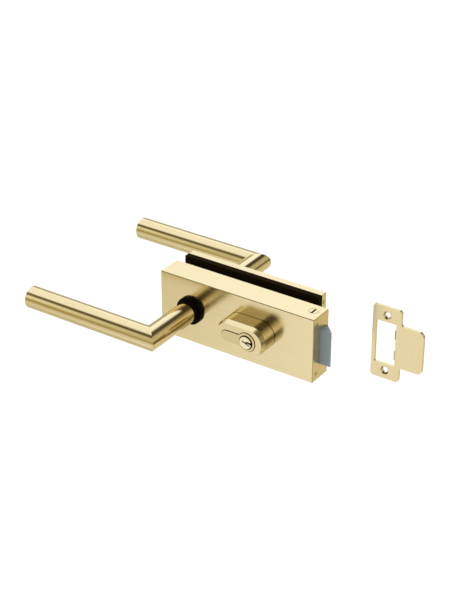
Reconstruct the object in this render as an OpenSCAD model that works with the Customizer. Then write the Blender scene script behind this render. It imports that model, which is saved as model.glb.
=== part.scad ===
// Glass door lock: levers, follower, latch and profile cylinder in a slim case that clamps on a pane.
// The origin is on the handle axis at the front face of the glass.
// X runs to the latch, Y through the glass and Z up.

/* [Glass] */
// Thickness of the glass pane
glass_t = 10; // [8:0.5:12]
// Thickness of each gasket
gasket_t = 0.5; // [0.3:0.1:1]
// How far the gaskets stay inside the outline of the plates
gasket_inset = 2; // [1:0.5:4]

/* [Case] */
// Length of the front case
case_l = 153.3; // [150:0.1:165]
// Height of the front case
case_h = 60; // [58:0.5:68]
// Depth of the front case
case_d = 23.1; // [22.6:0.1:26]
// Wall of the brass covers
wall = 1.6; // [1.2:0.1:2]
// Handle axis to the left end of the case
spindle_left = 30.8; // [30:0.1:36]
// Height of the handle axis above the middle of the case
spindle_up = 1; // [0:0.5:1.5]
// Bevel along the edges of the covers
edge_c = 0.5; // [0.2:0.1:0.6]

/* [Back plate] */
// Length of the back plate
back_l = 135.8; // [134:0.1:145]
// Handle axis to the left end of the back plate
back_left = 29.4; // [29:0.1:32]
// Thickness of the black base
base_t = 5.5; // [4:0.5:8]
// Depth of the brass cover on the base
back_cover_d = 6.9; // [6:0.1:9]

/* [Levers] */
// Diameter of the lever tube
rod_d = 19.7; // [18:0.1:21]
// Wall of the grip tube
tube_wall = 2; // [1.5:0.1:3]
// Case face to the grip axis, front
grip_out_front = 57.9; // [50:0.1:70]
// Back cover to the grip axis, back
grip_out_back = 55.5; // [50:0.1:70]
// Handle axis to the end of the grip
grip_l = 127; // [110:1:150]
// Thickness of the cap in the end of the grip
cap_t = 2; // [1:0.5:4]
// Diameter of the turned collar next to the bush
collar_d = 18.6; // [17.6:0.1:19]
// Case face to the step between collar and tube
collar_l = 12; // [9:0.5:15]

/* [Bushes] */
// Diameter of the bush flange
flange_d = 25.2; // [24:0.1:30]
// Thickness of the bush flange
flange_t = 2.8; // [1.5:0.1:4]
// Diameter of the bush hub
hub_d = 20.8; // [20.2:0.1:23]
// Case face to the end of the bush hub
hub_h = 6.5; // [4:0.5:8]
// Diameter of the spigot in the cover
spigot_d = 22.8; // [21:0.1:24]

/* [Spindle and follower] */
// Side of the square spindle
spindle_s = 8; // [7:0.5:9]
// Depth of the spindle in each lever neck
spindle_in = 30; // [20:1:40]
// Diameter of the follower journals
journal_d = 16; // [14:0.5:17]
// Diameter of the follower body
follower_d = 20; // [18:0.5:21]
// Length of the arm that draws the latch
latch_arm_r = 19.6; // [18.6:0.1:20]
// Length of the arm on the return spring
spring_arm_r = 20; // [18:0.5:21]
// Width of the follower arms
arm_w = 5; // [4:0.5:6]
// Thickness of the follower arms
arm_t = 3.5; // [3:0.1:3.8]

/* [Latch] */
// Height of the latch head
latch_h = 32; // [26:0.5:33]
// Thickness of the latch head
latch_t = 10.9; // [9:0.1:11]
// Projection of the latch head
latch_out = 10.2; // [8:0.1:10.4]
// Length of the latch head
latch_l = 28.7; // [26:0.1:30]
// Flat left on the nose of the latch
latch_nose = 1.2; // [0.6:0.1:2]
// Height of the tail bar
tail_h = 4.2; // [3:0.1:4.2]
// Lower edge of the tail bar above the handle axis
tail_z = 15.8; // [15.6:0.1:16]
// Free play between follower arm and tail
tail_play = 0.9; // [0.9:0.1:1.2]
// How far the tab that the follower pushes hangs below the tail bar
tab_drop = 3; // [2.5:0.1:3.5]

/* [Cylinder] */
// Handle axis to the plug axis
cyl_x = 69.1; // [66:0.1:72]
// Diameter of the round part of the profile
cyl_d = 17; // [16.5:0.1:17.5]
// Width of the flat part of the profile
cyl_web = 10; // [9:0.5:11]
// Height of the whole profile
cyl_h = 33; // [32:0.5:34]
// Cam plane to the front end
cyl_front = 30; // [29:0.5:32]
// Cam plane to the back end
cyl_back = 35; // [34:0.5:40]
// Cam plane behind the front face of the case
cam_depth = 10.9; // [10:0.1:12]
// Width of the cam slot
cam_slot = 10; // [9:0.5:11]
// Reach of the cam
cam_r = 15; // [13:0.5:15.2]
// Width of the cam finger
cam_w = 6; // [4:0.5:7]
// Diameter of the plug
plug_d = 13; // [12:0.1:13.4]
// Width of the groove round the plug face
plug_groove = 0.9; // [0.4:0.1:1.2]
// How far the plug faces stand out of the body
plug_out = 1; // [0.2:0.1:1.2]
// Plug axis to the fixing screw
cyl_screw_x = 20; // [18:0.5:21]

/* [Cylinder housing] */
// Plug axis to the right centre of the housing
boss_right = 2.9; // [2:0.1:4]
// Distance between the two centres of the housing
boss_span = 21.3; // [20:0.1:24]
// Diameter of the housing ends
boss_d = 26.5; // [24:0.1:30]
// Height of the straight wall
boss_wall_h = 13.7; // [10:0.1:16]
// Height of the whole housing
boss_h = 18.4; // [17:0.1:20]
// Inset of the slanted shoulder
boss_in = 1.6; // [0.5:0.1:2.5]

/* [Strike plate] */
// Handle axis to the left edge of the strike plate
strike_x = 151.5; // [145:0.1:170]
// Glass face to the front of the strike plate
strike_y = 22.3; // [10:0.1:40]
// Height of the middle of the strike plate from the handle axis
strike_z = -0.7; // [-2:0.1:2]
// Width of the strike plate
strike_w = 26.6; // [24:0.1:32]
// Height of the strike plate
strike_h = 68.1; // [62:0.1:80]
// Thickness of the strike plate
strike_t = 2.5; // [1.5:0.1:3]
// Width of the lip
lip_w = 21.1; // [15:0.1:30]
// Height of the lip
lip_h = 39.8; // [36:0.1:44]
// Width of the opening
strike_hole_w = 18.9; // [17:0.1:20]
// Height of the opening
strike_hole_h = 40; // [36:0.5:42]
// Left edge of the plate to the opening
strike_rim = 3.2; // [3:0.1:4]
// Distance between the screw holes
strike_pitch = 52.4; // [50:0.1:56]
// Diameter of the screw holes
strike_screw_d = 5; // [4:0.1:5.5]

/* [Fastening] */
// Distance between the clamp screws along the case
clamp_x = 121.5; // [121:0.1:123]
// Distance between the clamp screws across the case
clamp_z = 42; // [41:0.5:44]
// Handle axis to the left clamp screws
clamp_left = 24.5; // [24.2:0.1:25]
// Diameter of the studs through the glass
stud_d = 10; // [9:0.5:12]
// Depth of the thread in the end of each stud
stud_thread_l = 4.8; // [4:0.1:5]
// Diameter of the clamp screws
clamp_screw_d = 5; // [4:0.5:5]
// Diameter of the countersunk screw in the top of the case
top_screw_d = 8.1; // [6:0.1:9]
// Right end of the case to the countersunk screw
top_screw_in_x = 8.4; // [7:0.1:10]
// Case face to the countersunk screw
top_screw_in_y = 13.4; // [8:0.1:15]
// Diameter of the small screw heads in the end faces
end_screw_d = 4; // [3:0.5:4.5]
// Middle of the case to the small screws in its end
end_screw_up = 23.3; // [22:0.1:24]
// Case face to the small screws in its end
end_screw_in_y = 5.5; // [4:0.1:8]
// Middle of the back plate to the small screws in its ends
back_screw_up = 22.7; // [20:0.1:24]

/* [Hidden] */
$fn = 64;

brass = [0.87, 0.78, 0.55];
dark = [0.10, 0.10, 0.10];
steel = [0.62, 0.63, 0.65];
latch_grey = [0.52, 0.55, 0.58];
spring_grey = [0.45, 0.46, 0.48];

slack = 0.1;        // gap between fixed pieces that sit in each other
run = 0.05;         // radial gap of a bearing
slide_gap = 0.2;    // gap round a sliding piece
cover_gap = 0.4;    // gap between the latch head and its opening in the cover
seat_gap = 0.03;    // radial gap of what is screwed or pressed in
mouth_share = 0.045; // bevel round the mouth of a screw seat, as a share of the head
past = 1;           // how far a cut runs past the surface
far = 400;          // longer than anything here

// Planes across the glass
case_y = -(case_d + gasket_t);
plate_y = -gasket_t;
base_y = glass_t + gasket_t;
cover_y = base_y + base_t;
back_y = cover_y + back_cover_d;
in_y = case_y + wall;

// Outline of the case and the back plate
mid_z = -spindle_up;
z0 = mid_z - case_h / 2;
z1 = mid_z + case_h / 2;
x0 = -spindle_left;
x1 = x0 + case_l;
bx0 = -back_left;
bx1 = bx0 + back_l;

rod_r = rod_d / 2;
collar_r = collar_d / 2;
spigot_r = spigot_d / 2;
journal_r = journal_d / 2;
boss_x1 = cyl_x + boss_right;
boss_x0 = boss_x1 - boss_span;

// Layers of the mechanism, from the frame plate towards the case face
plate_t = 1.5;
bearing_l = 2.6;
layer_gap = 0.5;
frame_y = plate_y - plate_t;
collar_y = frame_y - bearing_l;
arm_y = collar_y - slide_gap - arm_t;
tail_t = arm_t;
tail_y = arm_y - layer_gap - tail_t;
tail_mid_y = tail_y + tail_t / 2;
follower_y = tail_y - 3;
spigot_in = follower_y - 2.2 - case_y;
latch_back_y = frame_y - slide_gap;
latch_y = latch_back_y - latch_t;
latch_mid_y = latch_y + latch_t / 2;

// Latch
latch_tip = x1 + latch_out;
latch_root = latch_tip - latch_l;
guide_x = latch_root + slide_gap + slack;
tab_x = -arm_w / 2 - tail_play;
tab_w = 5.4;
rail_x = [20, 80];
rail_w = 8;
rail_over = 0.6;
foot_t = 2.5;
foot_x = latch_root - foot_t;
foot_w = 6.5;
foot_h = 11;
foot_z = 0;
rivet_r = 1.2;
rivet_head_t = 1;
rivet_l = 4.8;
rivet_gap = 6;

// Latch spring: its post, spigot and seat in the head
latch_spring_z = mid_z - 9;
latch_spring_r = 2.7;
latch_wire_r = 0.4;
spring_seat_r = 3.7;
spring_seat_l = 4;
latch_stop_t = 3;
latch_stop_x = cyl_x + cam_r + 1.2;

// Return spring: the height it acts at, and its post
return_z = -16;
return_spring_r = 2.7;
return_wire_r = 0.45;
return_stop_x = 24;
spigot_l = 4;
return_spigot_r = 1.8;
latch_spigot_r = 1.6;
post_half = 4;
stop_w = 3.5;

// Cylinder
cyl_r = cyl_d / 2;
cyl_drop = cyl_h - cyl_r - cyl_web / 2;
cam_y = case_y + cam_depth;
cyl_y0 = cam_y - cyl_front;
cyl_y1 = cam_y + cyl_back;
plug_r = plug_d / 2;
plug_neck_l = plug_out + 1;
cam_hub_r = cyl_r - slide_gap;
bridge_r = cam_r + 1;
housing_gap = 0.5;
housing_seam = 0.4;
base_web = 1;

// Screws
cyl_screw_d = 5;
cyl_screw_head_d = 9;
cyl_screw_l = cyl_web / 2 - 1 - z0;
housing_screw_d = 3;
housing_screw_head_d = 5.6;
housing_screw_head_t = 1.8;
housing_screw_in = 8;
housing_screw_x = [cyl_x - cyl_drop - cyl_web / 2 - 3.6, cyl_x + cyl_r + 3.8];
clamp_head_d = 8.5;
clamp_head_t = 3;
clamp_socket_d = 4;
clamp_socket_floor = 1;
clamp_head_y = cover_y - slack - clamp_head_t;
clamp_boss_r = 4.2;
stud_end_y = base_y - 0.3;
stud_clear_r = stud_d / 2 + 1.3;
end_screw_l = 8;
small_shank = 2.4;
top_screw_l = 11;
top_shank = 4;
small_slot = [2.7, 1.2, 0.5];
wide_slot = [5.2, 1.5, 1.3];
slot_turn = -45;
grub_d = 6;
grub_y = -collar_l - 6;
grub_in = 0.3;
grub_socket_d = 3.4;
grub_socket_l = 2.5;
cap_plug_l = 6;

// A box between two corners
module block(a, b) {
    translate([min(a[0], b[0]), min(a[1], b[1]), min(a[2], b[2])])
        cube([abs(b[0] - a[0]), abs(b[1] - a[1]), abs(b[2] - a[2])]);
}

// Cylinders along X, Y and Z between two coordinates
module rod_x(r, a, b) { translate([a, 0, 0]) rotate([0, 90, 0]) cylinder(r = r, h = b - a); }
module rod_y(r, a, b) { translate([0, a, 0]) rotate([-90, 0, 0]) cylinder(r = r, h = b - a); }
module rod_z(r, a, b) { translate([0, 0, a]) cylinder(r = r, h = b - a); }

// A flat outline in XZ made solid from one Y to another
module prism_y(a, b) { translate([0, b, 0]) rotate([90, 0, 0]) linear_extrude(b - a) children(); }

// A rectangle with its corners cut at 45 degrees
module cut_rect(a, b, c) {
    polygon([[a[0] + c, a[1]], [b[0] - c, a[1]], [b[0], a[1] + c], [b[0], b[1] - c],
             [b[0] - c, b[1]], [a[0] + c, b[1]], [a[0], b[1] - c], [a[0], a[1] + c]]);
}

// A rectangle with round corners
module round_rect(w, h, r) {
    translate([r, 0]) square([w - 2 * r, h]);
    translate([0, r]) square([w, h - 2 * r]);
    for (x = [r, w - r], y = [r, h - r]) translate([x, y]) circle(r);
}

// A box with bevelled edges, the bevel of the far side left out by letting it run past
module bevelled(a, b, c) {
    intersection() {
        prism_y(a[1], b[1]) cut_rect([a[0], a[2]], [b[0], b[2]], c);
        translate([a[0], 0, 0]) rotate([90, 0, 90]) linear_extrude(b[0] - a[0])
            cut_rect([a[1], a[2]], [b[1], b[2]], c);
        translate([0, 0, a[2]]) linear_extrude(b[2] - a[2]) cut_rect([a[0], a[1]], [b[0], b[1]], c);
    }
}

// The keyhole-shaped outline of a profile cylinder, grown by a gap
module profile(gap = 0) {
    circle(cyl_r + gap);
    translate([-cyl_drop, -cyl_web / 2 - gap]) square([cyl_drop, cyl_web + 2 * gap]);
    translate([-cyl_drop, 0]) circle(cyl_web / 2 + gap);
}

// A countersunk screw along Z, its head at the top at z = 0, with a slot of a given length, width and depth
module flat_screw(head_d, shank_d, len, slot) {
    head_h = (head_d - shank_d) / 2;
    difference() {
        union() {
            translate([0, 0, -head_h]) cylinder(r1 = shank_d / 2, r2 = head_d / 2, h = head_h);
            translate([0, 0, -len]) cylinder(r = shank_d / 2, h = len - head_h);
        }
        translate([-slot[0] / 2, -slot[1] / 2, -slot[2]]) cube(slot + [0, 0, past]);
    }
}

// The seat that such a screw needs, its mouth bevelled
module flat_screw_hole(head_d, shank_d, len) {
    head_h = (head_d - shank_d) / 2;
    head_r = head_d / 2 + seat_gap;
    shank_r = shank_d / 2 + seat_gap;
    mouth = head_d * mouth_share;
    translate([0, 0, -head_h]) cylinder(r1 = shank_r, r2 = head_r, h = head_h + seat_gap);
    translate([0, 0, -mouth]) cylinder(r1 = head_r, r2 = head_r + mouth + seat_gap, h = mouth + seat_gap);
    translate([0, 0, -len - slack]) cylinder(r = shank_r, h = len - head_h + 2 * slack);
}

// The two rivet axes of the latch
module at_rivets() {
    for (z = [-1, 1]) translate([0, tail_y + foot_w / 2, foot_z + (foot_h + z * rivet_gap) / 2]) children();
}

// The four clamp screw axes
module at_clamps() {
    for (x = [-clamp_left, clamp_x - clamp_left], z = [-1, 1])
        translate([x, 0, mid_z + z * clamp_z / 2]) children();
}

// The two small screws in the right end of the case, pointing out
module at_end_screws() {
    for (z = [-1, 1])
        translate([x1, case_y + end_screw_in_y, mid_z + z * end_screw_up]) rotate([0, 90, 0]) children();
}

// The screws in both ends of the back cover, pointing out
module at_back_screws() {
    for (x = [bx0, bx1], z = [-1, 1])
        translate([x, (cover_y + back_y - wall) / 2, mid_z + z * back_screw_up])
            rotate([0, x > 0 ? 90 : -90, 0]) children();
}

// The countersunk screw in the top of the case
module at_top_screw() {
    translate([x1 - top_screw_in_x, case_y + top_screw_in_y, z1]) rotate([0, 0, 90]) children();
}

// The fixing screw of the cylinder, its head in the underside of the case
module at_cylinder_screw() {
    translate([cyl_x - cyl_screw_x, cam_y, z0]) rotate([180, 0, 0]) children();
}

// Brass cover of the case, open towards the glass
module front_cover() {
    color(brass) difference() {
        bevelled([x0, case_y, z0], [x1, plate_y + edge_c, z1], edge_c);
        block([x0 + wall, in_y, z0 + wall], [x1 - wall, plate_y + past, z1 - wall]);
        block([x0 - past, plate_y, z0 - past], [x1 + past, plate_y + past, z1 + past]);
        rod_y(spigot_r + seat_gap, case_y - past, in_y + past);
        translate([cyl_x, 0, 0]) prism_y(case_y - past, in_y + past) profile(slack);
        for (x = housing_screw_x) translate([x, 0, 0])
            rod_y(housing_screw_d / 2 + slack, case_y - past, in_y + past);
        block([x1 - wall - past, latch_y - cover_gap, mid_z - latch_h / 2 - cover_gap],
              [x1 + past, latch_back_y + slide_gap, mid_z + latch_h / 2 + cover_gap]);
        at_end_screws() flat_screw_hole(end_screw_d, small_shank, end_screw_l);
        at_top_screw() flat_screw_hole(top_screw_d, top_shank, top_screw_l);
        at_cylinder_screw() flat_screw_hole(cyl_screw_head_d, cyl_screw_d, -z0);
    }
}

// Cast frame in the case: plate, latch guide, bearing collar, bosses, posts of the springs
module lock_frame() {
    fx0 = x0 + wall + slack;
    fx1 = x1 - wall - slack;
    fz0 = z0 + wall + slack;
    fz1 = z1 - wall - slack;
    latch_post_x = latch_stop_x + latch_stop_t;
    color(steel) difference() {
        union() {
            block([fx0, frame_y, fz0], [fx1, plate_y, fz1]);
            block([guide_x, in_y + slack, fz0], [fx1, frame_y, fz1]);
            rod_y(journal_r + 4, collar_y, frame_y);
            at_clamps() rod_y(clamp_boss_r, arm_y - slack, frame_y);
            // Post and spigot of the return spring
            block([return_stop_x, tail_mid_y - post_half, return_z - post_half],
                  [return_stop_x + post_half, frame_y, return_z + post_half]);
            translate([0, tail_mid_y, return_z])
                rod_x(return_spigot_r, return_stop_x - spigot_l, return_stop_x);
            // Stop of the follower at rest
            block([-arm_w / 2 - slack - stop_w, tail_y, return_z - 3],
                  [-arm_w / 2 - slack, frame_y, return_z + 2]);
            // Post and spigot of the latch spring
            block([latch_stop_x, latch_mid_y - post_half, latch_spring_z - post_half],
                  [latch_post_x, frame_y, latch_spring_z + post_half]);
            translate([0, latch_mid_y, latch_spring_z])
                rod_x(latch_spigot_r, latch_post_x, latch_post_x + spigot_l);
            // Rails behind the tail bar
            for (x = rail_x) block([x, arm_y, tail_z - rail_over],
                                   [x + rail_w, frame_y, tail_z + tail_h + rail_over]);
        }
        // Channel of the latch head
        block([guide_x - past, latch_y - slide_gap, mid_z - latch_h / 2 - slide_gap],
              [fx1 + past, frame_y + seat_gap, mid_z + latch_h / 2 + slide_gap]);
        rod_y(journal_r + run, collar_y - past, plate_y + past);
        translate([cyl_x, 0, 0]) prism_y(frame_y - past, plate_y + past) profile(slack);
        at_clamps() rod_y(clamp_screw_d / 2 + seat_gap, arm_y - past, plate_y + past);
        at_end_screws() flat_screw_hole(end_screw_d, small_shank, end_screw_l);
        at_top_screw() flat_screw_hole(top_screw_d, top_shank, top_screw_l);
    }
}

// Long housing on the case face that carries the front of the cylinder
module cylinder_housing() {
    r = boss_d / 2;
    top_r = r - boss_in;
    half = [[0, 0], [r - housing_seam, 0], [r, housing_seam], [r, boss_wall_h],
            [top_r, boss_h], [0, boss_h]];
    both = concat([for (i = [1:4]) half[i]], [for (i = [4:-1:1]) [-half[i][0], half[i][1]]]);
    color(brass) difference() {
        translate([0, case_y, 0]) rotate([90, 0, 0]) {
            for (x = [boss_x0, boss_x1]) translate([x, 0, 0]) rotate_extrude($fn = 128) polygon(half);
            translate([boss_x0, 0, 0]) rotate([90, 0, 90]) linear_extrude(boss_span) polygon(both);
        }
        translate([cyl_x, 0, 0]) prism_y(case_y - boss_h - past, case_y + past) profile(housing_gap);
        for (x = housing_screw_x) translate([x, 0, 0])
            rod_y(housing_screw_d / 2 + seat_gap, case_y - housing_screw_in - past, case_y + past);
    }
}

// Screws that hold the housing from inside the case
module housing_screws() {
    color(steel) for (x = housing_screw_x) translate([x, 0, 0]) {
        rod_y(housing_screw_d / 2, case_y - housing_screw_in, in_y);
        rod_y(housing_screw_head_d / 2, in_y, in_y + housing_screw_head_t);
    }
}

// Body of the profile cylinder, with the plug bore and the cam slot
module cylinder_body() {
    color(brass) translate([cyl_x, 0, 0]) difference() {
        prism_y(cyl_y0, cyl_y1) profile();
        rod_y(plug_r + run, cyl_y0 - past, cyl_y1 + past);
        intersection() {
            block([-far, cam_y - cam_slot / 2, -far], [far, cam_y + cam_slot / 2, far]);
            rod_y(bridge_r, cyl_y0, cyl_y1);
        }
        translate([-cyl_screw_x, cam_y, 0]) rod_z(cyl_screw_d / 2 + seat_gap, -far, far);
    }
}

// A plug with its keyway, from the face inwards over a length; s is 1 for the front and -1 for the back
module plug(face, l, s) {
    translate([cyl_x, face, 0]) rotate([-90 * s, 0, 0]) difference() {
        union() {
            cylinder(r = plug_r - plug_groove, h = plug_neck_l + past);
            translate([0, 0, plug_neck_l]) cylinder(r = plug_r, h = l - plug_neck_l);
        }
        translate([0, 0, -past]) linear_extrude(l + 2 * past) scale([1, -s]) keyway();
    }
}

// Outline of the keyway: a bent slot with a lower branch, open at the side of the plug
module keyway() {
    side = plug_r + past;
    polygon([[-3.6, 0.4], [-0.4, -0.6], [3.8, -2.4], [4.4, -1.5], [1.6, -0.3], [2.4, 0.1],
             [side, -1], [side, 1.2], [4.4, 1.6], [1.2, 1.6], [0.2, 0.5], [-3.2, 1.4]]);
}

module front_plug() {
    color(brass) plug(cyl_y0 - plug_out, cyl_front + plug_out - cam_slot / 2 + slack, 1);
}
module back_plug() {
    color(brass) plug(cyl_y1 + plug_out, cyl_back + plug_out - cam_slot / 2 + slack, -1);
}

// Cam between the two plugs, its finger resting in the slot of the body
module cylinder_cam() {
    y0 = cam_y - cam_slot / 2 + 2 * slack;
    y1 = cam_y + cam_slot / 2 - 2 * slack;
    color(steel) translate([cyl_x, 0, 0]) {
        rod_y(cam_hub_r, y0, y1);
        intersection() {
            block([-cam_r - past, y0, -cam_w / 2], [0, y1, cam_w / 2]);
            rod_y(cam_r, y0, y1);
        }
    }
}

// Long screw that holds the cylinder, from the underside of the case
module cylinder_screw() {
    color(steel) at_cylinder_screw() flat_screw(cyl_screw_head_d, cyl_screw_d, cyl_screw_l, wide_slot);
}

// Black flanged bush: hub round the lever collar, spigot in the cover
module bush(spigot_depth, inner_r) {
    difference() {
        union() {
            rod_y(flange_d / 2, -flange_t, 0);
            rod_y(hub_d / 2, -hub_h, -flange_t);
            rod_y(spigot_r, 0, spigot_depth);
        }
        rod_y(collar_r + run, -hub_h - past, wall);
        rod_y(inner_r, wall - past, spigot_depth + past);
    }
}

module front_bush() { color(dark) at_front() bush(spigot_in, journal_r + run); }
module back_bush() { color(dark) at_back() bush(back_cover_d + base_t - base_web, spindle_s * 0.8); }

// Thin gasket with the cut-outs of everything that crosses the glass
module gasket(y, xa, xb) {
    ya = y - past;
    yb = y + gasket_t + past;
    difference() {
        block([xa + gasket_inset, y, z0 + gasket_inset],
              [xb - gasket_inset, y + gasket_t, z1 - gasket_inset]);
        rod_y(journal_r + 2, ya, yb);
        translate([cyl_x, 0, 0]) prism_y(ya, yb) profile(0.5);
        at_clamps() rod_y(stud_clear_r, ya, yb);
    }
}

module front_gasket() { color(dark) gasket(plate_y, x0, x1); }
module back_gasket() { color(dark) gasket(glass_t, bx0, bx1); }

// Studs of the frame that pass through the glass, each with a thread in its end for a clamp screw
module glass_studs() {
    color(dark) at_clamps() difference() {
        union() {
            rod_y(clamp_screw_d / 2, arm_y, plate_y);
            rod_y(stud_d / 2, plate_y, stud_end_y);
        }
        rod_y(clamp_screw_d / 2 + seat_gap, stud_end_y - stud_thread_l, stud_end_y + past);
    }
}

module clamp_screws() {
    color(steel) at_clamps() difference() {
        union() {
            rod_y(clamp_screw_d / 2, stud_end_y - stud_thread_l + slide_gap, clamp_head_y);
            rod_y(clamp_head_d / 2, clamp_head_y, clamp_head_y + clamp_head_t);
        }
        translate([0, clamp_head_y + clamp_socket_floor, 0]) rotate([-90, 0, 0])
            cylinder(d = clamp_socket_d, h = clamp_head_t, $fn = 6);
    }
}

// Black base behind the glass, with the raised platform that carries the back cover
module back_base() {
    color(dark) difference() {
        union() {
            block([bx0, base_y, z0], [bx1, cover_y, z1]);
            block([bx0 + wall + slack, cover_y, z0 + wall + slack],
                  [bx1 - wall - slack, back_y - wall - slack, z1 - wall - slack]);
        }
        rod_y(spigot_r + seat_gap, base_y + base_web, back_y + past);
        rod_y(journal_r + 1, base_y - past, base_y + base_web + past);
        translate([cyl_x, 0, 0]) prism_y(base_y - past, back_y + past) profile(slack);
        at_clamps() rod_y(clamp_screw_d / 2 + slack, base_y - past, back_y + past);
        at_clamps() rod_y(clamp_head_d / 2 + slack, clamp_head_y, back_y + past);
        at_back_screws() flat_screw_hole(end_screw_d, small_shank, end_screw_l);
    }
}

module back_cover() {
    color(brass) difference() {
        bevelled([bx0, cover_y - edge_c, z0], [bx1, back_y, z1], edge_c);
        block([bx0 - past, cover_y - past, z0 - past], [bx1 + past, cover_y, z1 + past]);
        block([bx0 + wall, cover_y - past, z0 + wall], [bx1 - wall, back_y - wall, z1 - wall]);
        rod_y(spigot_r + seat_gap, cover_y, back_y + past);
        translate([cyl_x, 0, 0]) prism_y(cover_y, back_y + past) profile(slack);
        at_back_screws() flat_screw_hole(end_screw_d, small_shank, end_screw_l);
    }
}

// The small screw of the end faces
module small_screw() {
    rotate([0, 0, slot_turn]) flat_screw(end_screw_d, small_shank, end_screw_l, small_slot);
}

module back_cover_screws() { color(brass) at_back_screws() small_screw(); }
module end_screws() { color(brass) at_end_screws() small_screw(); }
module top_screw() {
    color(brass) at_top_screw() flat_screw(top_screw_d, top_shank, top_screw_l, wide_slot);
}

// Flat outline of the strike plate: plate and lip, the corners between them filleted
module strike_outline() {
    corner = 3;
    lip_corner = 5;
    fillet = 2;
    x_in = strike_x + strike_w;
    translate([strike_x, strike_z - strike_h / 2]) round_rect(strike_w, strike_h, corner);
    translate([x_in - lip_corner, strike_z - lip_h / 2]) round_rect(lip_w + lip_corner, lip_h, lip_corner);
    for (s = [-1, 1]) translate([x_in, strike_z + s * lip_h / 2]) difference() {
        translate([-past, s > 0 ? -past : -fillet]) square([fillet + past, fillet + past]);
        translate([fillet, s * fillet]) circle(fillet);
    }
}

// Strike plate for the frame, with its opening, two countersunk holes and two lugs bent back
module strike_plate() {
    hole_x = strike_x + strike_rim;
    hole_x1 = hole_x + strike_hole_w;
    hole_half = strike_hole_h / 2;
    sink = 1.3;
    hole_r = strike_screw_d / 2;
    lug_h = 8.6;
    lug_gap = 10.7;
    lug_w = 1.6;
    lug_back = 1.6;
    color(brass) {
        difference() {
            prism_y(strike_y, strike_y + strike_t) strike_outline();
            block([hole_x, strike_y - past, strike_z - hole_half],
                  [hole_x1, strike_y + strike_t + past, strike_z + hole_half]);
            for (s = [-1, 1])
                translate([strike_x + strike_w / 2, strike_y, strike_z + s * strike_pitch / 2]) {
                    rod_y(hole_r, -past, strike_t + past);
                    rotate([-90, 0, 0]) translate([0, 0, -seat_gap])
                        cylinder(r1 = hole_r + sink, r2 = hole_r, h = sink);
                }
        }
        for (s = [-1, 1]) translate([hole_x1, strike_y, strike_z + (s * (lug_gap + lug_h) - lug_h) / 2])
            linear_extrude(lug_h)
                polygon([[0, 0.3], [-lug_w, 1.2], [-lug_w, strike_t + lug_back], [0, strike_t]]);
    }
}

// Square bar through the follower and both lever necks
module spindle() {
    color(steel) block([-spindle_s / 2, case_y - spindle_in, -spindle_s / 2],
                       [spindle_s / 2, back_y + spindle_in, spindle_s / 2]);
}

// Follower: journals, body, latch arm up, spring arm down
module follower() {
    color(steel) difference() {
        union() {
            rod_y(journal_r, in_y + slack, plate_y - slack);
            rod_y(follower_d / 2, follower_y, collar_y - slide_gap);
            intersection() {
                block([-arm_w / 2, arm_y, 0], [arm_w / 2, arm_y + arm_t, far]);
                rod_y(latch_arm_r, arm_y - past, arm_y + arm_t + past);
            }
            intersection() {
                block([-arm_w / 2, tail_y, -far], [arm_w / 2, tail_y + tail_t, 0]);
                rod_y(spring_arm_r, tail_y - past, tail_y + tail_t + past);
            }
        }
        block([-spindle_s / 2 - run, case_y, -spindle_s / 2 - run],
              [spindle_s / 2 + run, past, spindle_s / 2 + run]);
    }
}

// Half space on one side of the mitre between neck and grip, side = 1 for the neck and -1 for the grip
module mitre(out, side) {
    translate([0, -out, 0]) rotate([0, 0, side > 0 ? 45 : 225]) translate([0, -far, -far])
        cube([far, 2 * far, 2 * far]);
}

// Lever neck, its foot in the bush: collar, tube, square socket and grub screw hole
module neck(out) {
    difference() {
        intersection() {
            union() {
                rod_y(collar_r, -collar_l, wall - slack);
                rod_y(rod_r, -out - 2 * rod_r, -collar_l);
            }
            mitre(out, 1);
        }
        block([-spindle_s / 2 - run, -spindle_in - past, -spindle_s / 2 - run],
              [spindle_s / 2 + run, wall + past, spindle_s / 2 + run]);
        translate([0, grub_y, 0]) rod_z(grub_d / 2 + seat_gap, -rod_r - past, 0);
    }
}

// Grip tube, mitred to the neck
module grip(out) {
    difference() {
        intersection() {
            translate([0, -out, 0]) rod_x(rod_r, -grip_l + cap_t, 2 * rod_r);
            mitre(out, -1);
        }
        intersection() {
            translate([0, -out, 0]) rod_x(rod_r - tube_wall, -grip_l - past, 2 * rod_r);
            translate([-1.5 * tube_wall, 0, 0]) mitre(out, -1);
        }
    }
}

// Cap with its plug in the end of a grip
module cap(out) {
    translate([0, -out, 0]) {
        rod_x(rod_r, -grip_l, -grip_l + cap_t);
        rod_x(rod_r - tube_wall - seat_gap, -grip_l + cap_t, -grip_l + cap_t + cap_plug_l);
    }
}

// Grub screw under the neck, with a hexagon socket
module grub() {
    translate([0, grub_y, 0]) difference() {
        rod_z(grub_d / 2, grub_in - rod_r, -spindle_s / 2 - run);
        translate([0, 0, -rod_r]) cylinder(d = grub_socket_d, h = grub_socket_l, $fn = 6);
    }
}

module at_front() { translate([0, case_y, 0]) children(); }
module at_back() { translate([0, back_y, 0]) mirror([0, 1, 0]) children(); }

module front_neck() { color(brass) at_front() neck(grip_out_front); }
module back_neck() { color(brass) at_back() neck(grip_out_back); }
module front_grip() { color(brass) at_front() grip(grip_out_front); }
module back_grip() { color(brass) at_back() grip(grip_out_back); }
module grip_caps() {
    color(brass) at_front() cap(grip_out_front);
    color(brass) at_back() cap(grip_out_back);
}
module grub_screws() {
    color(steel) at_front() grub();
    color(steel) at_back() grub();
}

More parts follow.
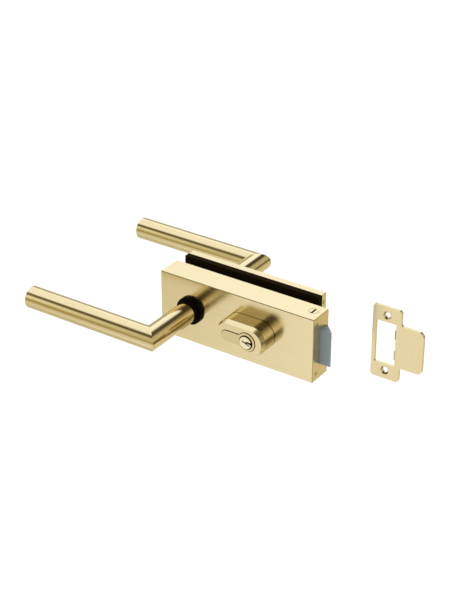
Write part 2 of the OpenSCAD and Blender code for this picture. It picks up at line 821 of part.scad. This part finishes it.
// Latch head: flat towards the front, bevelled towards the back
module latch_bolt() {
    bevel = latch_out - 0.6;
    edge = 0.4;
    color(latch_grey) difference() {
        translate([0, 0, mid_z - latch_h / 2]) linear_extrude(latch_h)
            polygon([[latch_root, latch_y], [latch_tip - edge, latch_y], [latch_tip, latch_y + edge],
                     [latch_tip, latch_y + latch_nose], [latch_tip - bevel, latch_back_y],
                     [latch_root, latch_back_y]]);
        translate([0, latch_mid_y, latch_spring_z])
            rod_x(spring_seat_r, latch_root - past, latch_root + spring_seat_l);
        at_rivets() rod_x(rivet_r + seat_gap, latch_root - past, latch_root + rivet_l + slack);
    }
}

// Tail: bar over the cylinder, leg down to a foot on the head, tab in front of the follower arm
module latch_tail() {
    tail_top = tail_z + tail_h;
    color(steel) difference() {
        union() {
            block([tab_x - tab_w, tail_y, tail_z], [latch_root, tail_y + tail_t, tail_top]);
            block([tab_x - tab_w, tail_y, tail_z - tab_drop], [tab_x, arm_y + arm_t, tail_top]);
            block([foot_x, tail_y, foot_z], [latch_root, tail_y + tail_t, tail_z]);
            block([foot_x, tail_y, foot_z], [latch_root, tail_y + foot_w, foot_z + foot_h]);
        }
        at_rivets() rod_x(rivet_r + seat_gap, foot_x - past, latch_root + past);
    }
}

module latch_rivets() {
    color(steel) at_rivets() {
        rod_x(rivet_r, foot_x, latch_root + rivet_l);
        rod_x(rivet_r + 0.5, foot_x - rivet_head_t, foot_x);
    }
}

// Points of a coil along X: one ring of wire corners per step, square to the helix
function coil_ring(r, w, pitch, sides, t) =
    let (a = 360 * t, c = [pitch * t, r * cos(a), r * sin(a)],
         f = 2 * PI * r, k = sqrt(f * f + pitch * pitch),
         n = [0, cos(a), sin(a)],
         b = [-f / k, -sin(a) * pitch / k, cos(a) * pitch / k])
    [for (j = [0:sides - 1]) c + w * (cos(360 * j / sides) * n + sin(360 * j / sides) * b)];

// A compression spring along X as one unbroken wire
module coil(r, w, len, turns) {
    sides = 6;
    steps = 10 * turns;
    pitch = (len - 2 * w) / turns;
    rings = [for (i = [0:steps]) coil_ring(r, w, pitch, sides, turns * i / steps)];
    pts = [for (q = rings) for (p = q) p + [w, 0, 0]];
    faces = [for (i = [0:steps - 1]) for (j = [0:sides - 1]) for (h = [0, 1])
        let (a = i * sides + j, b = i * sides + (j + 1) % sides)
        h == 0 ? [a, b, a + sides] : [b, b + sides, a + sides]];
    ends = [[for (j = [sides - 1:-1:0]) j], [for (j = [0:sides - 1]) steps * sides + j]];
    polyhedron(pts, concat(faces, ends));
}

module return_spring() {
    a = arm_w / 2 + slack;
    color(spring_grey) translate([a, tail_mid_y, return_z])
        coil(return_spring_r, return_wire_r, return_stop_x - slack - a, 6);
}

module latch_spring() {
    a = latch_stop_x + latch_stop_t + slack;
    color(spring_grey) translate([a, latch_mid_y, latch_spring_z])
        coil(latch_spring_r, latch_wire_r, latch_root + spring_seat_l - slack - a, 7);
}

front_cover();
lock_frame();
cylinder_housing();
housing_screws();
cylinder_body();
front_plug();
back_plug();
cylinder_cam();
cylinder_screw();
front_bush();
back_bush();
front_gasket();
back_gasket();
glass_studs();
clamp_screws();
back_base();
back_cover();
back_cover_screws();
end_screws();
top_screw();
strike_plate();
spindle();
follower();
front_neck();
front_grip();
back_neck();
back_grip();
grip_caps();
grub_screws();
return_spring();
latch_bolt();
latch_tail();
latch_rivets();
latch_spring();
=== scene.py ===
from math import cos, pi, radians, sin, sqrt

import bmesh
import bpy
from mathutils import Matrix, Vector


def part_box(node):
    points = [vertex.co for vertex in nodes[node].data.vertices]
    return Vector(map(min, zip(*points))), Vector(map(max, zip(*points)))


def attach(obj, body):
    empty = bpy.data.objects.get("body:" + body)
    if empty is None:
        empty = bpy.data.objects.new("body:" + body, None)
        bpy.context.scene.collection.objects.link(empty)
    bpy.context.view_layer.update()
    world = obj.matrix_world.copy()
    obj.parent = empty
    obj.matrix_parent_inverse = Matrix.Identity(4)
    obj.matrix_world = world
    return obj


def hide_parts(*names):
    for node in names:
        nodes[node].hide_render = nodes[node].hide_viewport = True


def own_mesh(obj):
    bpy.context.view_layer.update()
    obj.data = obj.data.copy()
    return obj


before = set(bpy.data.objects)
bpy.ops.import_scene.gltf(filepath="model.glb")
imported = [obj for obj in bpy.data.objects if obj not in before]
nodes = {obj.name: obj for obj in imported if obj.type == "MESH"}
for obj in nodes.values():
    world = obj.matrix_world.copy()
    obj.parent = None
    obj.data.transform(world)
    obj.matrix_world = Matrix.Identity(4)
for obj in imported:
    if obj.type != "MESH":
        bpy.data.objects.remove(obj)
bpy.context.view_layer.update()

# Camera of the photograph: place in metres, angles in degrees
CAMERA_PLACE = (0.71505, -1.02659, 0.69936)
CAMERA_TURN = 34.12
CAMERA_DOWN = 29.25
LENS = 99.48
SENSOR = 36.0
CLIP_END = 20.0

# Floor under the lock
FLOOR_Z = -0.30
FLOOR_SIZE = 8.0
FLOOR_WHITE = (0.97, 0.97, 0.97, 1)
FLOOR_ROUGH = 0.9
FLOOR_SHINE = 0.1
FLOOR_GLOW = 0.12

# Dome that the metal mirrors, and the light of the world outside it
CENTRE = Vector((0.06, -0.02, 0.0))
DOME_RADIUS = 3.0
WORLD_LIGHT = 0.75

# Colours
WHITE = (1, 1, 1, 1)
GOLD = (0.86, 0.735, 0.45, 1)
SATIN_GOLD = (0.76, 0.64, 0.37, 1)
PALE_GOLD = (0.97, 0.88, 0.60, 1)
LATCH_GREY = (0.27, 0.315, 0.345, 1)
DEEP_BLACK = (0.004, 0.003, 0.002, 1)
WARM_BLACK = (0.013, 0.008, 0.002, 1)
# Colour of the painted shade in slots, in gaps and along the seam between housing and cover
PAINTED_SHADE_COLOUR = (0.012, 0.007, 0.003, 1)

# Noise: its detail, the values that most of it lies between, and how it is drawn out
NOISE_DETAIL = 3
NOISE_LOW = 0.3
NOISE_HIGH = 0.7
DRAWN_OUT = 0.02
EVEN = (1, 1, 1)
ALONG = {"x": (DRAWN_OUT, 1, 1), "y": (1, DRAWN_OUT, 1), "z": (1, 1, DRAWN_OUT)}

# Brushed metal: its streaks, which change colour and roughness a little, its scratches, with a
# depth in metres, and the roughness of its cut faces
STREAK_SCALE = 900
STREAK_TINT = 0.03
STREAK_ROUGH = 0.02
SCRATCH_SCALE = 5000
SCRATCH_DETAIL = 2
SCRATCH_DEPTH = 4e-6
CUT_ROUGH = 0.28

# Plain metal: its mottle, which changes the colour of castings more, with a depth in metres
MOTTLE_SCALE = 1500
MOTTLE_TINT = 0.03
CAST_TINT = 0.06
MOTTLE_ROUGH = 0.03
MOTTLE_DEPTH = 3e-6

# Plastic, rubber and coatings: their grain, with a depth in metres
GRAIN_SCALE = 4000
GRAIN_TINT = 0.12
GRAIN_ROUGH = 0.06
GRAIN_DEPTH = 1.5e-5

# How far brushing and painted shade stay from the outermost faces, and half the width of the band
# of painted shade along the seam between the housing and the cover, in metres
COVER_RIM = 0.0001
BODY_RIM = 0.00015
SLOT_RIM = 0.0002
SEAM = 0.0004


def srgb(red, green, blue):
    """A colour written as 0 to 255 as the linear colour that shaders take."""
    def linear(value):
        share = value / 255
        return share / 12.92 if share <= 0.04045 else ((share + 0.055) / 1.055) ** 2.4
    return (linear(red), linear(green), linear(blue), 1.0)


def new_object(name, data):
    """A new object, linked to the scene."""
    thing = bpy.data.objects.new(name, data)
    bpy.context.scene.collection.objects.link(thing)
    return thing


# Helpers for node trees

def new_material(name):
    """A material and its node tree."""
    material = bpy.data.materials.new(name)
    material.use_nodes = True
    return material, material.node_tree


def add(tree, kind, **settings):
    """A new node with some of its settings."""
    node = tree.nodes.new(kind)
    for key, value in settings.items():
        setattr(node, key, value)
    return node


def math_node(tree, operation, *values):
    """The result of an operation on numbers and on the outputs of other nodes."""
    node = add(tree, "ShaderNodeMath", operation=operation)
    for socket, value in zip(node.inputs, values):
        if isinstance(value, (int, float)):
            socket.default_value = value
        else:
            tree.links.new(value, socket)
    return node.outputs[0]


def noise(tree, scale, stretch=EVEN, detail=NOISE_DETAIL):
    """Noise in the object's own metres, drawn out along the axes where stretch is small."""
    place = add(tree, "ShaderNodeTexCoord")
    mapping = add(tree, "ShaderNodeMapping")
    mapping.inputs["Scale"].default_value = stretch
    texture = add(tree, "ShaderNodeTexNoise")
    texture.inputs["Scale"].default_value = scale
    texture.inputs["Detail"].default_value = detail
    tree.links.new(place.outputs["Object"], mapping.inputs["Vector"])
    tree.links.new(mapping.outputs["Vector"], texture.inputs["Vector"])
    return texture.outputs["Fac"]


def spread(tree, value, low, high):
    """Maps noise to a range of numbers."""
    ramp = add(tree, "ShaderNodeMapRange")
    ramp.inputs["From Min"].default_value = NOISE_LOW
    ramp.inputs["From Max"].default_value = NOISE_HIGH
    ramp.inputs["To Min"].default_value = low
    ramp.inputs["To Max"].default_value = high
    tree.links.new(value, ramp.inputs["Value"])
    return ramp.outputs["Result"]


def tint(tree, value, colour, change):
    """A colour that the noise makes a little lighter and darker."""
    mix = add(tree, "ShaderNodeMix", data_type="RGBA")
    mix.inputs["A"].default_value = (*[part * (1 - change) for part in colour[:3]], 1)
    mix.inputs["B"].default_value = (*[min(1, part * (1 + change)) for part in colour[:3]], 1)
    tree.links.new(spread(tree, value, 0, 1), mix.inputs["Factor"])
    return mix.outputs["Result"]


def bump(tree, value, depth):
    """Relief of a depth in metres."""
    relief = add(tree, "ShaderNodeBump")
    relief.inputs["Distance"].default_value = depth
    tree.links.new(value, relief.inputs["Height"])
    return relief.outputs["Normal"]


def showing(tree):
    """1 for rays that show the background: those of the camera, of mirrors and of glass."""
    rays = add(tree, "ShaderNodeLightPath").outputs
    mirrored = math_node(tree, "MAXIMUM", rays["Is Glossy Ray"], rays["Is Transmission Ray"])
    return math_node(tree, "MAXIMUM", rays["Is Camera Ray"], mirrored)


def between(tree, axis, low, high):
    """1 where the place along an axis lies between two limits in metres, and 0 elsewhere."""
    place = add(tree, "ShaderNodeTexCoord")
    parts = add(tree, "ShaderNodeSeparateXYZ")
    tree.links.new(place.outputs["Object"], parts.inputs[0])
    above = math_node(tree, "GREATER_THAN", parts.outputs[axis], low)
    below = math_node(tree, "LESS_THAN", parts.outputs[axis], high)
    return math_node(tree, "MULTIPLY", above, below)


def paint_shade(tree, colour, axis, low, high):
    """Painted shade in slots and gaps, which lie between two limits along an axis."""
    mix = add(tree, "ShaderNodeMix", data_type="RGBA")
    tree.links.new(between(tree, axis, low, high), mix.inputs["Factor"])
    tree.links.new(colour, mix.inputs["A"])
    mix.inputs["B"].default_value = PAINTED_SHADE_COLOUR
    return mix.outputs["Result"]


def inside(node, axis, rim):
    """An axis, and a node's two limits along it moved inwards by a rim."""
    low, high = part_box(node)
    index = "XYZ".index(axis)
    return (axis, low[index] + rim, high[index] - rim)


# Kinds of surface. Where painted shade is given, it is an axis and two limits along it.

def brushed(name, colour, axis, rough, anisotropy=0.0, painted_shade=None, brushing=None):
    """Metal brushed along one axis: fine scratches, and broader streaks that show from a step away.

    Brushing is an axis and two limits too. The faces beyond them are cut and not brushed."""
    material, tree = new_material(name)
    shader = tree.nodes["Principled BSDF"]
    shader.inputs["Metallic"].default_value = 1.0
    streaks = noise(tree, STREAK_SCALE, ALONG[axis])
    scratches = noise(tree, SCRATCH_SCALE, ALONG[axis], SCRATCH_DETAIL)
    streaked = tint(tree, streaks, colour, STREAK_TINT)
    if painted_shade:
        streaked = paint_shade(tree, streaked, *painted_shade)
    tree.links.new(streaked, shader.inputs["Base Color"])
    roughness = spread(tree, streaks, rough - STREAK_ROUGH, rough + STREAK_ROUGH)
    if brushing:
        mix = add(tree, "ShaderNodeMix")
        tree.links.new(between(tree, *brushing), mix.inputs["Factor"])
        mix.inputs["A"].default_value = CUT_ROUGH
        tree.links.new(roughness, mix.inputs["B"])
        roughness = mix.outputs["Result"]
    tree.links.new(roughness, shader.inputs["Roughness"])
    tree.links.new(bump(tree, scratches, SCRATCH_DEPTH), shader.inputs["Normal"])
    if anisotropy:
        shader.inputs["Anisotropic"].default_value = anisotropy
        around = add(tree, "ShaderNodeTangent", direction_type="RADIAL", axis=axis.upper())
        tree.links.new(around.outputs["Tangent"], shader.inputs["Tangent"])
    return material


def plain_metal(name, colour, rough, change=MOTTLE_TINT, metallic=1.0, painted_shade=None):
    """Metal with a faint even mottle."""
    material, tree = new_material(name)
    shader = tree.nodes["Principled BSDF"]
    shader.inputs["Metallic"].default_value = metallic
    mottle = noise(tree, MOTTLE_SCALE)
    mottled = tint(tree, mottle, colour, change)
    if painted_shade:
        mottled = paint_shade(tree, mottled, *painted_shade)
    tree.links.new(mottled, shader.inputs["Base Color"])
    roughness = spread(tree, mottle, rough - MOTTLE_ROUGH, rough + MOTTLE_ROUGH)
    tree.links.new(roughness, shader.inputs["Roughness"])
    tree.links.new(bump(tree, mottle, MOTTLE_DEPTH), shader.inputs["Normal"])
    return material


def dull(name, colour, rough, shine):
    """Matt black plastic, rubber or coating with a fine texture."""
    material, tree = new_material(name)
    shader = tree.nodes["Principled BSDF"]
    shader.inputs["Specular IOR Level"].default_value = shine
    grain = noise(tree, GRAIN_SCALE)
    tree.links.new(tint(tree, grain, colour, GRAIN_TINT), shader.inputs["Base Color"])
    roughness = spread(tree, grain, rough - GRAIN_ROUGH, rough + GRAIN_ROUGH)
    tree.links.new(roughness, shader.inputs["Roughness"])
    tree.links.new(bump(tree, grain, GRAIN_DEPTH), shader.inputs["Normal"])
    return material


# Finishes

FRONT_COVER_GOLD = brushed("front_cover_gold", GOLD, "x", rough=0.18, anisotropy=0.3,
                           brushing=inside("front_cover", "X", COVER_RIM))
BACK_COVER_GOLD = brushed("back_cover_gold", GOLD, "x", rough=0.18, anisotropy=0.3,
                          brushing=inside("back_cover", "X", COVER_RIM))
GRIP_GOLD = brushed("grip_gold", GOLD, "x", rough=0.13)
NECK_GOLD = brushed("neck_gold", GOLD, "y", rough=0.15)
HOUSING_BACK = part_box("cylinder_housing")[1][1]
# Painted shade: a dark band along the seam with the cover stands for the contact shade of the joint
HOUSING_GOLD = brushed("housing_gold", GOLD, "x", rough=0.16,
                       painted_shade=("Y", HOUSING_BACK - SEAM, HOUSING_BACK + SEAM))
# Painted shade: each screw is dark but for a thin layer at its two ends, so that its slot looks
# shaded
TOP_SCREW_GOLD = plain_metal("top_screw_gold", GOLD, rough=0.2,
                             painted_shade=inside("top_screw", "Z", SLOT_RIM))
END_SCREW_GOLD = plain_metal("end_screw_gold", GOLD, rough=0.25,
                             painted_shade=inside("end_screws", "X", SLOT_RIM))
BACK_SCREW_GOLD = plain_metal("back_screw_gold", GOLD, rough=0.25,
                              painted_shade=inside("back_cover_screws", "X", SLOT_RIM))
# Painted shade: the cylinder body is dark behind its front face, in the gap around it in the
# housing
BODY_GOLD = plain_metal("body_gold", SATIN_GOLD, rough=0.18,
                        painted_shade=inside("cylinder_body", "Y", BODY_RIM))
# Painted shade: the plugs are dark behind their front faces, in the keyway and around their edges
FRONT_PLUG_GOLD = plain_metal("front_plug_gold", PALE_GOLD, rough=0.12,
                              painted_shade=inside("front_plug", "Y", SLOT_RIM))
BACK_PLUG_GOLD = plain_metal("back_plug_gold", PALE_GOLD, rough=0.12,
                             painted_shade=inside("back_plug", "Y", SLOT_RIM))
STRIKE_GOLD = brushed("strike_gold", GOLD, "z", rough=0.26)
CAST = plain_metal("cast_frame", srgb(160, 162, 166), rough=0.5, change=CAST_TINT)
STEEL = plain_metal("plain_steel", srgb(155, 157, 160), rough=0.33)
SPRING = plain_metal("spring_steel", srgb(110, 112, 116), rough=0.3)
LATCH = plain_metal("latch_steel", LATCH_GREY, rough=0.5, metallic=0.1)
BLACK = dull("black_plastic", DEEP_BLACK, rough=0.5, shine=0.05)
BASE = dull("black_base", WARM_BLACK, rough=0.7, shine=0.02)
RUBBER = dull("gasket_rubber", WARM_BLACK, rough=0.8, shine=0.02)

FINISH = {
    "front_cover": FRONT_COVER_GOLD, "back_cover": BACK_COVER_GOLD,
    "cylinder_housing": HOUSING_GOLD, "cylinder_body": BODY_GOLD,
    "front_plug": FRONT_PLUG_GOLD, "back_plug": BACK_PLUG_GOLD,
    "front_grip": GRIP_GOLD, "back_grip": GRIP_GOLD, "grip_caps": GRIP_GOLD,
    "front_neck": NECK_GOLD, "back_neck": NECK_GOLD,
    "back_cover_screws": BACK_SCREW_GOLD, "end_screws": END_SCREW_GOLD, "top_screw": TOP_SCREW_GOLD,
    "strike_plate": STRIKE_GOLD, "lock_frame": CAST, "latch_bolt": LATCH,
    "return_spring": SPRING, "latch_spring": SPRING,
    "front_bush": BLACK, "back_bush": BLACK,
    "back_base": BASE, "glass_studs": BASE,
    "front_gasket": RUBBER, "back_gasket": RUBBER,
}
for name, node in nodes.items():
    finish = FINISH.get(name, STEEL)
    node.data.materials.clear()
    node.data.materials.append(finish)


# Springs: round wire, wound along X

COIL_STEPS = 24
WIRE_SIDES = 10
WIRE_RADIUS = 0.00042


def wound_wire(name, low, high, turns):
    """A coil that fills the box between two corners."""
    radius = (high.z - low.z) / 2 - WIRE_RADIUS
    pitch = (high.x - low.x - 2 * WIRE_RADIUS) / turns
    round_once = 2 * pi * radius
    slope = sqrt(round_once ** 2 + pitch ** 2)
    start = Vector((low.x + WIRE_RADIUS, (low.y + high.y) / 2, (low.z + high.z) / 2))
    points = []
    for step in range(turns * COIL_STEPS + 1):
        angle = 2 * pi * step / COIL_STEPS
        out = Vector((0, cos(angle), sin(angle)))
        side_on = Vector((-round_once, -pitch * sin(angle), pitch * cos(angle))) / slope
        middle = start + Vector((pitch * step / COIL_STEPS, 0, 0)) + out * radius
        for side in range(WIRE_SIDES):
            turn = 2 * pi * side / WIRE_SIDES
            points.append(middle + (out * cos(turn) + side_on * sin(turn)) * WIRE_RADIUS)
    last_ring = len(points) - WIRE_SIDES
    faces = [list(reversed(range(WIRE_SIDES))), list(range(last_ring, len(points)))]
    for ring in range(0, last_ring, WIRE_SIDES):
        next_ring = ring + WIRE_SIDES
        for side in range(WIRE_SIDES):
            after = (side + 1) % WIRE_SIDES
            faces.append([ring + side, ring + after, next_ring + after, next_ring + side])
    mesh = bpy.data.meshes.new(name)
    mesh.from_pydata(points, [], faces)
    mesh.shade_smooth()
    return mesh


def spring(name, node, turns):
    """Stands for a spring of the frame."""
    low, high = (Vector(corner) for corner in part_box(node))
    coil = new_object(name, wound_wire(name, low, high, turns))
    coil.data.materials.append(SPRING)
    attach(coil, "case")
    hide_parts(node)
    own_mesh(coil)


spring("return_spring_coil", "return_spring", turns=6)
spring("latch_spring_coil", "latch_spring", turns=7)


# Screw in the top of the case, its slot cut across the whole head

SLOT_WIDTH = 0.0019
SLOT_DEPTH = 0.0014


def slotted_screw(name, node, finish):
    """Stands for an upright screw of the frame. Its slot runs along Y across the whole head."""
    low, high = (Vector(corner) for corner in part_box(node))
    top = Vector(((low.x + high.x) / 2, (low.y + high.y) / 2, high.z))
    screw = new_object(name, nodes[node].data.copy())
    # The box that cuts the slot stands half above the head and reaches past its edges
    box = bmesh.new()
    bmesh.ops.create_cube(box, size=1)
    bmesh.ops.scale(box, vec=(SLOT_WIDTH, 2 * (high.y - low.y), 2 * SLOT_DEPTH), verts=box.verts)
    bmesh.ops.translate(box, vec=top, verts=box.verts)
    cutter_mesh = bpy.data.meshes.new("cutter")
    box.to_mesh(cutter_mesh)
    box.free()
    cutter = new_object("cutter", cutter_mesh)
    cut = screw.modifiers.new("slot", "BOOLEAN")
    cut.operation = "DIFFERENCE"
    cut.solver = "EXACT"
    cut.object = cutter
    shape = screw.evaluated_get(bpy.context.evaluated_depsgraph_get())
    slotted = bpy.data.meshes.new_from_object(shape)
    screw.modifiers.clear()
    screw.data = slotted
    screw.data.materials.clear()
    screw.data.materials.append(finish)
    bpy.data.objects.remove(cutter)
    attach(screw, "case")
    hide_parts(node)


slotted_screw("slotted_top_screw", "top_screw", TOP_SCREW_GOLD)


# Floor

half = FLOOR_SIZE / 2
floor_corners = [(-half, -half, FLOOR_Z), (half, -half, FLOOR_Z),
                 (half, half, FLOOR_Z), (-half, half, FLOOR_Z)]
floor_mesh = bpy.data.meshes.new("floor")
floor_mesh.from_pydata(floor_corners, [], [(0, 1, 2, 3)])
floor = new_object("floor", floor_mesh)
floor_material, floor_tree = new_material("floor")
floor_shader = floor_tree.nodes["Principled BSDF"]
floor_shader.inputs["Base Color"].default_value = FLOOR_WHITE
floor_shader.inputs["Roughness"].default_value = FLOOR_ROUGH
floor_shader.inputs["Specular IOR Level"].default_value = FLOOR_SHINE
# The floor shows a little lighter than it is lit, so that it runs into the white behind it
floor_level = math_node(floor_tree, "MULTIPLY", showing(floor_tree), FLOOR_GLOW)
floor_shader.inputs["Emission Color"].default_value = WHITE
floor_tree.links.new(floor_level, floor_shader.inputs["Emission Strength"])
floor.data.materials.append(floor_material)
floor.visible_glossy = False


# Studio dome: what the metal mirrors. White, with soft cards of other colours on it.
# Angles are in degrees: turn from the front towards the latch side, and height above the horizon.

STRAIGHT_DOWN = -90
STRAIGHT_UP = 90

# Each card: left and right edge, lower and upper edge, softness of its edges, colour.
# Every card lies over those before it.
CARDS = [
    # Room in front and to the left, and the dim room to the right
    (-170, 60, -35, 35, 10, (0.70, 0.65, 0.50)),
    (60, 180, -90, 90, 15, (0.45, 0.40, 0.28)),
    # Dark ceiling, nearly black in front
    (-60, 180, 32, 75, 8, (0.15, 0.13, 0.08)),
    (-30, 40, 34, 56, 5, (0.04, 0.03, 0.01)),
    # Window above on the left
    (-170, -60, 28, 90, 15, (1.05, 1.05, 1.05)),
    # Dim corner behind on the left
    (-160, -120, -50, 0, 8, (0.50, 0.46, 0.36)),
    # Floor on the left, and the darker one under the lock
    (-120, -50, -90, -28, 6, (0.65, 0.60, 0.45)),
    (-35, 60, -90, -40, 8, (0.38, 0.35, 0.26)),
    # Dark floor on the right, with a nearly black patch
    (25, 60, -40, -5, 6, (0.27, 0.26, 0.20)),
    (28, 56, -22, -9, 4, (0.09, 0.08, 0.05)),
    # Bright wall in front, and the dimmer one above it
    (-33, 12, -40, 5, 8, (1.00, 0.98, 0.95)),
    (-30, 38, 5, 32, 5, (0.34, 0.31, 0.24)),
    # Soft light in front on the right
    (40, 60, 2, 20, 5, (0.85, 0.85, 0.85)),
    # Upright beside the bright wall, its dark foot, its bright edge and its dark head
    (-45, -20, 0, 28, 4, (0.60, 0.55, 0.35)),
    (-45, -28, -15, 5, 5, (0.43, 0.35, 0.16)),
    (-54, -38, 10, 24, 4, (1.05, 1.00, 0.80)),
    (-60, -36, 32, 46, 4, (0.13, 0.10, 0.03)),
    # Skirting on the right: dark, lighter further back, and a dark patch on the lighter part
    (85, 125, -20, 0, 6, (0.20, 0.17, 0.10)),
    (125, 180, -18, 5, 6, (0.60, 0.53, 0.38)),
    (122, 152, -9, 3, 4, (0.12, 0.10, 0.04)),
    # Floor behind on the right
    (115, 180, -60, -18, 10, (0.72, 0.63, 0.42)),
    # Light band behind on the right, and a dimmer one before it
    (118, 178, 5, 25, 5, (0.55, 0.50, 0.35)),
    (90, 118, 5, 35, 5, (0.32, 0.28, 0.18)),
    # Behind on the left, a dim patch and the bright one above it
    (-168, -128, 4, 22, 6, (0.42, 0.39, 0.30)),
    (-178, -132, 24, 42, 6, (1.20, 1.22, 1.28)),
    # Nearly black patch high up behind on the right
    (147, 178, 33, 44, 4, (0.05, 0.04, 0.02)),
]


def direction(turn, up):
    """Unit vector for a turn and a height."""
    return Vector((sin(radians(turn)) * cos(radians(up)),
                   -cos(radians(turn)) * cos(radians(up)), sin(radians(up))))


def soft_step(tree, value, edge, soft, rising=True):
    """0 on one side of an edge and 1 on the other, with a smooth change of twice soft."""
    step = add(tree, "ShaderNodeMapRange", interpolation_type="SMOOTHSTEP")
    step.inputs["From Min"].default_value = edge - soft
    step.inputs["From Max"].default_value = edge + soft
    step.inputs["To Min"].default_value = 0 if rising else 1
    step.inputs["To Max"].default_value = 1 if rising else 0
    tree.links.new(value, step.inputs["Value"])
    return step.outputs["Result"]


def turn_from(tree, middle, front, right):
    """Degrees of turn from the middle of a card, so that no card meets the seam behind."""
    angle = radians(middle)
    along = math_node(tree, "ADD", math_node(tree, "MULTIPLY", front, cos(angle)),
                      math_node(tree, "MULTIPLY", right, sin(angle)))
    across = math_node(tree, "SUBTRACT", math_node(tree, "MULTIPLY", right, cos(angle)),
                       math_node(tree, "MULTIPLY", front, sin(angle)))
    return math_node(tree, "DEGREES", math_node(tree, "ARCTAN2", across, along))


def dome_material():
    """Light of the dome, with one card mixed over the other."""
    material, tree = new_material("dome")
    tree.nodes.remove(tree.nodes["Principled BSDF"])
    place = add(tree, "ShaderNodeTexCoord")
    parts = add(tree, "ShaderNodeSeparateXYZ")
    unit = add(tree, "ShaderNodeVectorMath", operation="NORMALIZE")
    tree.links.new(place.outputs["Object"], unit.inputs[0])
    tree.links.new(unit.outputs["Vector"], parts.inputs[0])
    x, y, z = (parts.outputs[axis] for axis in "XYZ")
    up = math_node(tree, "DEGREES", math_node(tree, "ARCSINE", z))
    front = math_node(tree, "MULTIPLY", y, -1.0)
    plain_white = add(tree, "ShaderNodeRGB")
    plain_white.outputs[0].default_value = WHITE
    colour = plain_white.outputs[0]
    for left, right, low, high, soft, shade in CARDS:
        turn = turn_from(tree, (left + right) / 2, front, x)
        away = math_node(tree, "ABSOLUTE", turn)
        mask = soft_step(tree, away, (right - left) / 2, soft, rising=False)
        if low > STRAIGHT_DOWN:
            over = soft_step(tree, up, low, soft)
            mask = math_node(tree, "MULTIPLY", mask, over)
        if high < STRAIGHT_UP:
            under = soft_step(tree, up, high, soft, rising=False)
            mask = math_node(tree, "MULTIPLY", mask, under)
        mix = add(tree, "ShaderNodeMix", data_type="RGBA")
        tree.links.new(mask, mix.inputs["Factor"])
        tree.links.new(colour, mix.inputs["A"])
        mix.inputs["B"].default_value = (*shade, 1)
        colour = mix.outputs["Result"]
    glow = add(tree, "ShaderNodeEmission")
    tree.links.new(colour, glow.inputs["Color"])
    tree.links.new(glow.outputs[0], tree.nodes["Material Output"].inputs["Surface"])
    return material


ball = bmesh.new()
bmesh.ops.create_icosphere(ball, subdivisions=4, radius=DOME_RADIUS)
dome_mesh = bpy.data.meshes.new("dome")
ball.to_mesh(dome_mesh)
ball.free()
dome_mesh.materials.append(dome_material())
dome = new_object("dome", dome_mesh)
dome.location = CENTRE
for ray in ("camera", "diffuse", "transmission", "shadow", "volume_scatter"):
    setattr(dome, "visible_" + ray, False)


# World: white for rays that show it, and dimmer where it only lights

world = bpy.data.worlds.new("studio")
bpy.context.scene.world = world
world.use_nodes = True
world_tree = world.node_tree
level = add(world_tree, "ShaderNodeMapRange")
level.inputs["To Min"].default_value = WORLD_LIGHT
level.inputs["To Max"].default_value = 1.0
world_tree.links.new(showing(world_tree), level.inputs["Value"])
background = world_tree.nodes["Background"]
background.inputs["Color"].default_value = WHITE
world_tree.links.new(level.outputs["Result"], background.inputs["Strength"])


# Lamps

def lamp(name, turn, up, distance, size, energy):
    """A round lamp that shines at the lock and that no metal mirrors."""
    data = bpy.data.lights.new(name, "AREA")
    data.shape = "DISK"
    data.size = size
    data.energy = energy
    thing = new_object(name, data)
    thing.location = CENTRE + direction(turn, up) * distance
    thing.rotation_euler = (CENTRE - thing.location).to_track_quat("-Z", "Y").to_euler()
    thing.visible_glossy = False


lamp("key", turn=-135, up=48, distance=2.2, size=1.6, energy=12)
lamp("fill", turn=50, up=45, distance=2.6, size=1.4, energy=10)


# Camera

camera_data = bpy.data.cameras.new("camera")
camera_data.lens = LENS
camera_data.sensor_fit = "AUTO"
camera_data.sensor_width = SENSOR
camera_data.clip_end = CLIP_END
camera = new_object("camera", camera_data)
camera.location = CAMERA_PLACE
camera.rotation_euler = (radians(90 - CAMERA_DOWN), 0, radians(CAMERA_TURN))
bpy.context.scene.camera = camera

bpy.context.scene.view_settings.view_transform = "Standard"
